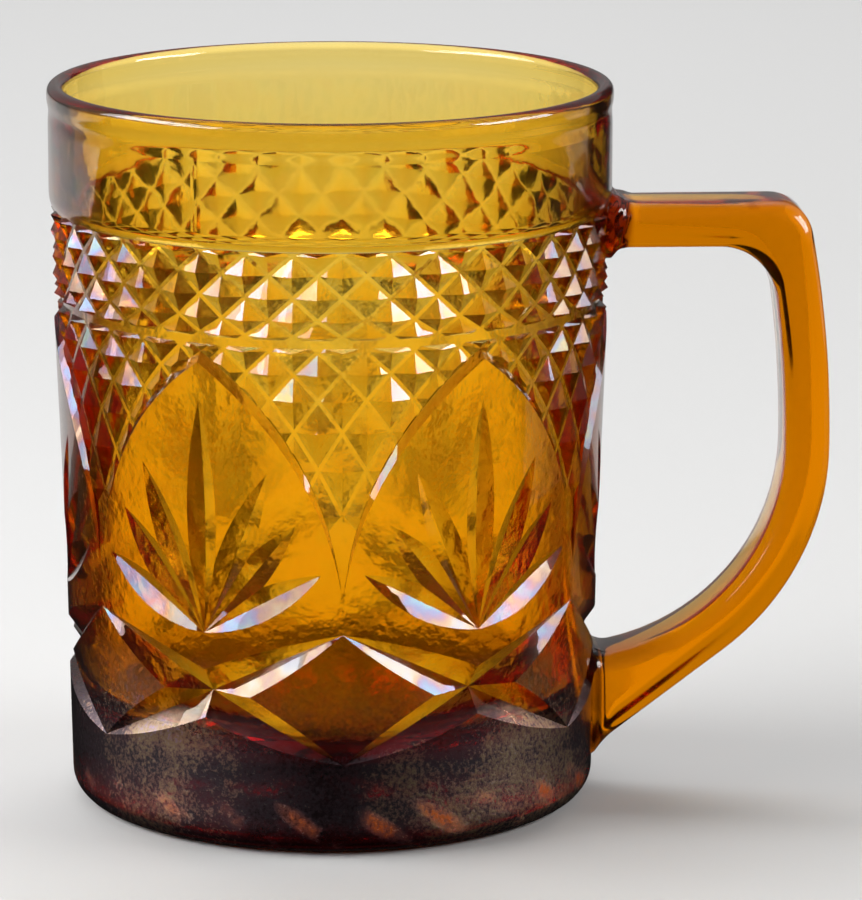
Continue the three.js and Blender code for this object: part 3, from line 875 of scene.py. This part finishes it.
def makeBody():
    wrapPanel(trimmedPanel(flatPanel()))
    corner = wall["baseCorner"]
    addTurned(arc(wall["footRadius"] - corner, corner, corner, -90, 0, 14), zones["land"])
    addUnderside()
    addTurned(lipProfile(), zones["lip"])
    addTurned(bowlProfile(), zones["bowl"])
    mesh = bpy.data.meshes.new("mug_body_glass")
    mesh.from_pydata([p * mm for p in wedge["points"]], [], wedge["faces"])
    cut = mesh.attributes.new("cutNormal", "FLOAT_VECTOR", "CORNER")
    cut.data.foreach_set("vector", [value for n in wedge["normals"] for value in n])
    lustre = mesh.attributes.new("lustre", "FLOAT", "FACE")
    lustre.data.foreach_set("value", wedge["lustre"])
    body = addObject("mug_body_glass", mesh)
    applyTree(body, turnTree, {
        "Panels": wall["panels"], "Step": math.radians(360 / wall["panels"]),
        "Weld": wall["copyWeld"] * mm, "Glass": bodyGlass})
    aimNormals(body.data)
    return body


mugBody = makeBody()
print("mug body:", len(mugBody.data.polygons), "faces")


# Handle: sections between an inner and an outer line, rounded at the edges

grip = {
    "depth": 12.5, "edge": 2.6, "thickness": 6.55,
    "armTop": 85.95, "outerX": 71.15, "uprightRadius": 165.0, "bowHeight": 50.7,
    "cornerRadius": 5.6, "innerCornerRadius": 8.2,
    "bowOuter": 37.8, "bowInner": 30.8, "lowerSlope": 37.0,
    "sink": 0.5,  # the hot end runs into the wall
    "squeeze": 1.3, "squeezeReach": 3.1, "lumps": 0.9, "lumpSize": 1.3,  # squeezed-out glass, upper joint
    "jointSteps": [0, 0.3, 0.6, 0.9, 1.2, 1.5, 1.8, 2.1, 2.4, 2.7, 3.0, 3.4, 3.9, 4.5, 5.2],
    "armFrom": 0.3, "rootFrom": 0.86,  # where the coarse sections of the arm begin and those of the bow end
    "fillet": 0.9, "filletReach": 2.6, "creaseAngle": 50.0,
}


def gripLines():  # pairs of inner and outer points from the upper joint to the lower one
    top, thick = grip["armTop"], grip["thickness"]
    armBottom = top - thick
    centreX, bowZ = grip["outerX"] - grip["uprightRadius"], grip["bowHeight"]

    def corner(radius, cornerRadius, level):
        reach, rise = radius - cornerRadius, level - cornerRadius - bowZ
        turn = math.asin(rise / reach)
        return centreX + reach * math.cos(turn), level - cornerRadius, math.degrees(turn)

    def onBow(middle, radius, turn):
        return middle + radius * math.cos(turn), bowZ + radius * math.sin(turn)

    outX, outZ, outTurn = corner(grip["uprightRadius"], grip["cornerRadius"], top)
    inX, inZ, inTurn = corner(grip["uprightRadius"] - thick, grip["innerCornerRadius"], armBottom)
    seat = wall["bandRadius"] - grip["sink"]
    shares = [step / (outX - seat) for step in grip["jointSteps"]] + spread(grip["armFrom"], 1, 14)
    inner = [(blendTo(seat, inX, s), armBottom) for s in shares]
    outer = [(blendTo(seat, outX, s), top) for s in shares]
    inner += arc(inX, inZ, grip["innerCornerRadius"], 90, inTurn, 14)[1:]
    outer += arc(outX, outZ, grip["cornerRadius"], 90, outTurn, 14)[1:]
    inner += arc(centreX, bowZ, grip["uprightRadius"] - thick, inTurn, 0, 16)[1:]
    outer += arc(centreX, bowZ, grip["uprightRadius"], outTurn, 0, 16)[1:]
    bowInX = grip["outerX"] - thick - grip["bowInner"]
    bowOutX = grip["outerX"] - grip["bowOuter"]
    root = wall["footRadius"] - grip["sink"]
    lastTurn = -math.degrees(math.acos((root - bowInX) / grip["bowInner"]))
    offTurn = grip["lowerSlope"] - 90
    runX, runZ = onBow(bowOutX, grip["bowOuter"], math.radians(offTurn))
    slope = math.radians(grip["lowerSlope"])
    arcLength = math.radians(-offTurn) * grip["bowOuter"]
    runLength = (runX - root) / math.cos(slope)
    shares = spread(0, grip["rootFrom"], 40)[1:] + spread(grip["rootFrom"], 1, 18)[1:]
    for s in shares:
        inner.append(onBow(bowInX, grip["bowInner"], math.radians(s * lastTurn)))
        along = s * (arcLength + runLength)
        if along <= arcLength:
            outer.append(onBow(bowOutX, grip["bowOuter"], -along / grip["bowOuter"]))
        else:
            past = along - arcLength
            outer.append((runX - past * math.cos(slope), runZ - past * math.sin(slope)))
    return inner, outer


def sectionRing(thick, depth, edge, steps=8):  # rounded rectangle: across the grip, along y
    ring = []
    corners = [(1, -1, -90), (1, 1, 0), (-1, 1, 90), (-1, -1, 180)]
    for a, b, start in corners:
        centre = (a * (thick / 2 - edge), b * (depth / 2 - edge))
        ring += arc(centre[0], centre[1], edge, start, start + 90, steps)
    return ring


def makeHandle():
    inner, outer = gripLines()
    points, count = [], 0
    for (ix, iz), (ox, oz) in zip(inner, outer):
        across = Vector((ox - ix, 0, oz - iz))
        thick = across.length
        across.normalize()
        middle = Vector(((ix + ox) / 2, 0, (iz + oz) / 2))
        fromWall = middle.x - landAt(middle.z)
        upper = middle.z > grip["bowHeight"]
        reach = grip["squeezeReach"] if upper else grip["filletReach"]
        swell = max(0, 1 - max(fromWall, 0) / reach) ** 2
        grow = swell * (grip["squeeze"] if upper else grip["fillet"])
        ring = sectionRing(thick + 2 * grow, grip["depth"] + 2 * grow, grip["edge"] + grow)
        count = len(ring)
        for a, y in ring:
            point = middle + across * a + Vector((0, y, 0))
            if upper and swell > 0:
                lump = noise.noise(point / grip["lumpSize"]) * grip["lumps"] * swell ** 0.5
                point += (across * a + Vector((0, y, 0))).normalized() * lump
            points.append(point)
    for point in points[:count] + points[-count:]:  # ends follow the wall
        radius = landAt(point.z) - grip["sink"]
        point.x = math.sqrt(radius ** 2 - point.y ** 2)
    handle = loft("handle_glass", [p * mm for p in points], count)
    handle.data.shade_smooth()
    handle.data.set_sharp_from_angle(angle=math.radians(grip["creaseAngle"]))
    handle.data.materials.append(handleGlass)
    return handle


handle = makeHandle()
print("handle:", len(handle.data.polygons), "faces")


# Floor, light and camera

studio = {
    "floorSize": 6.0, "floorDrop": 0.05 * mm, "floorShade": 0.48, "apron": 0.17,
    "paperTint": (1, 0.997, 0.992), "paperRoughness": 0.6, "paperGloss": 0.2,
    "boxAim": (0, 0, 0.05), "boxAway": 0.62,
    "boxes": [  # turn, rise, width, height, power and whether it shows in reflections
        (-86.0, 31.5, 0.46, 0.36, 2.6, True), (-86.0, 31.5, 0.28, 0.22, 1.16, True),  # brighter in the middle
        (-57.0, 23.5, 0.20, 0.21, 0.9, True), (79.0, 25.5, 0.38, 0.23, 2.9, True),
        (-86.0, 31.5, 0.46, 0.36, 1.94, False),  # for the floor alone
    ],
    "boxStep": 0.004,  # each a little nearer, so that none lies in the plane of another
    "farLight": (0.0, 0.85, 1.1), "farSize": 1.4, "farPower": 19.8,
    "card": [(-0.05, 0.06, 0.001), (0.055, 0.06, 0.001), (0.10, 0.70, 0.001), (-0.10, 0.70, 0.001)],
    "cardFade": (0.25, 0.5), "cardGlow": (1.08, 0.80),  # near and far
    "backdrop": [(-0.4, 0.7, 0), (0.4, 0.7, 0), (0.4, 0.7, 0.8), (-0.4, 0.7, 0.8)],
    "flags": [  # black cards out of view: two standing, two lying
        [(0.17, 0.29, 0), (0.45, 0.29, 0), (0.45, 0.29, 0.20), (0.10, 0.29, 0.20)],
        [(-0.40, 0.29, 0), (-0.11, 0.29, 0), (-0.085, 0.29, 0.16), (-0.40, 0.29, 0.16)],
        [(0.19, -0.04, 0.001), (0.50, -0.04, 0.001), (0.50, 0.29, 0.001), (0.22, 0.29, 0.001)],
        [(-0.30, 0.02, 0.001), (-0.072, 0.02, 0.001), (-0.085, 0.29, 0.001), (-0.40, 0.29, 0.001)],
    ],
    "skyBehind": (-0.1, 0.3, 0.03, 0.3), "skyAbove": (-0.02, 0.02, 0.03, 1),  # from and to
}


def matte(name, shade):
    material = bpy.data.materials.new(name)
    material.use_nodes = True
    paper = material.node_tree.nodes["Principled BSDF"]
    paper.inputs["Base Color"].default_value = (*[shade * part for part in studio["paperTint"]], 1)
    setInputs(paper, Roughness=studio["paperRoughness"], Specular_IOR_Level=studio["paperGloss"])
    return material


def plate(name, corners, material):
    mesh = bpy.data.meshes.new(name)
    mesh.from_pydata(corners, [], [(0, 1, 2, 3)])
    mesh.materials.append(material)
    obj = addObject(name, mesh)
    return obj


def makeFloor():
    half, drop, split = studio["floorSize"] / 2, -studio["floorDrop"], studio["apron"]
    paper = matte("paleFloor", studio["floorShade"])
    for name, near, far in (("floor", split, half), ("apron", -half, split)):
        corners = [(-half, near, drop), (half, near, drop), (half, far, drop), (-half, far, drop)]
        part = plate(name, corners, paper)
        part.visible_glossy = name == "floor"  # the table in front stays out of the reflections


def makeFlags():  # they darken the edges of the glass
    card = matte("blackCard", 0.0)
    for i, corners in enumerate(studio["flags"]):
        flag = plate(f"flag{i}", corners, card)
        flag.visible_camera = flag.visible_diffuse = flag.visible_shadow = False
        flag.visible_glossy = corners[0][0] > 0  # only the right ones show in reflections


def makeGlowCards():  # glowing cards on the floor behind the mug and standing behind it: painted light, seen only through the glass
    card = bpy.data.materials.new("glowingCard")
    card.use_nodes = True
    tree = card.node_tree
    glow = nodeIn(tree, "ShaderNodeEmission")
    _, place = placeIn(tree)
    strength = ranged(tree, place["Y"], *studio["cardFade"], *studio["cardGlow"])
    tree.links.new(strength, glow.inputs["Strength"])
    tree.links.new(glow.outputs["Emission"], tree.nodes["Material Output"].inputs["Surface"])
    for name in ("card", "backdrop"):
        obj = plate(name, studio[name], card)
        obj.visible_camera = obj.visible_diffuse = obj.visible_glossy = obj.visible_shadow = False


def addArea(name, wide, high, power, place, aim):
    light = bpy.data.lights.new(name, "AREA")
    light.shape = "RECTANGLE"
    light.size, light.size_y, light.energy = wide, high, power
    box = bpy.data.objects.new(name, light)
    scene.collection.objects.link(box)
    box.location = place
    box.rotation_euler = (Vector(place) - Vector(aim)).to_track_quat("Z", "Y").to_euler()
    return box


def makeLights():
    aim = Vector(studio["boxAim"])
    for i, (turn, rise, wide, high, power, shows) in enumerate(studio["boxes"]):
        back = roundAxis(math.radians(turn), math.cos(math.radians(rise)), math.sin(math.radians(rise)))
        away = studio["boxAway"] - i * studio["boxStep"]
        box = addArea(f"softBox{i}", wide, high, power, aim + back * away, aim)
        box.visible_transmission = False
        box.visible_glossy = shows
    x, y, z = studio["farLight"]
    size, power = studio["farSize"], studio["farPower"]
    far = addArea("farLight", size, size / 2, power, (x, y, z), (x, y, 0))
    far.visible_glossy = False


def makeWorld():  # bright behind, dim on the camera's side
    world = bpy.data.worlds.new("studio")
    scene.world = world
    world.use_nodes = True
    tree = world.node_tree
    sky = tree.nodes["Background"]
    _, way = placeIn(tree, "Generated")
    behind = ranged(tree, way["Y"], *studio["skyBehind"])
    aboveFloor = ranged(tree, way["Z"], *studio["skyAbove"])
    tree.links.new(multiplied(tree, behind, aboveFloor), sky.inputs["Color"])


photo = {"width": 862, "height": 900, "aimX": 331.4, "aimY": 447.6}  # pixels
eye = {"aim": (0, 0, 0.05), "away": 0.8183, "rise": 12.27, "swing": -2.26, "roll": -0.18, "focal": 5722.9}


def makeCamera():
    lens = bpy.data.cameras.new("camera")
    lens.sensor_width = 36
    lens.lens = eye["focal"] * lens.sensor_width / max(photo["width"], photo["height"])
    lens.clip_start, lens.clip_end = 0.01, 50
    camera = bpy.data.objects.new("camera", lens)
    scene.collection.objects.link(camera)
    rise = math.radians(eye["rise"])
    back = roundAxis(math.radians(eye["swing"]), math.cos(rise), math.sin(rise))
    side = Vector((0, 0, 1)).cross(back).normalized()
    up = back.cross(side)
    offX = (photo["aimX"] - photo["width"] / 2) / eye["focal"]
    offY = (photo["aimY"] - photo["height"] / 2) / eye["focal"]
    ahead = (-back - side * offX + up * offY).normalized()
    side = ahead.cross(up).normalized()
    up = side.cross(ahead)
    turn = Matrix((side, up, -ahead)).transposed() @ Matrix.Rotation(math.radians(eye["roll"]), 3, "Z")
    camera.matrix_world = Matrix.Translation(Vector(eye["aim"]) + back * eye["away"]) @ turn.to_4x4()
    scene.camera = camera


makeFloor()
makeFlags()
makeGlowCards()
makeLights()
makeWorld()
makeCamera()
scene.view_settings.view_transform = "Standard"
scene.cycles.max_bounces = 32
scene.cycles.transmission_bounces = 32
scene.cycles.glossy_bounces = 16
print("studio lit")


# Hand over to the frame

handedOver = [(mugBody, "mug_body", "lustred_amber_glass"), (handle, "handle", "clear_amber_glass")]
for piece, node, slot in handedOver:
    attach(piece, "root")
    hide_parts(node)
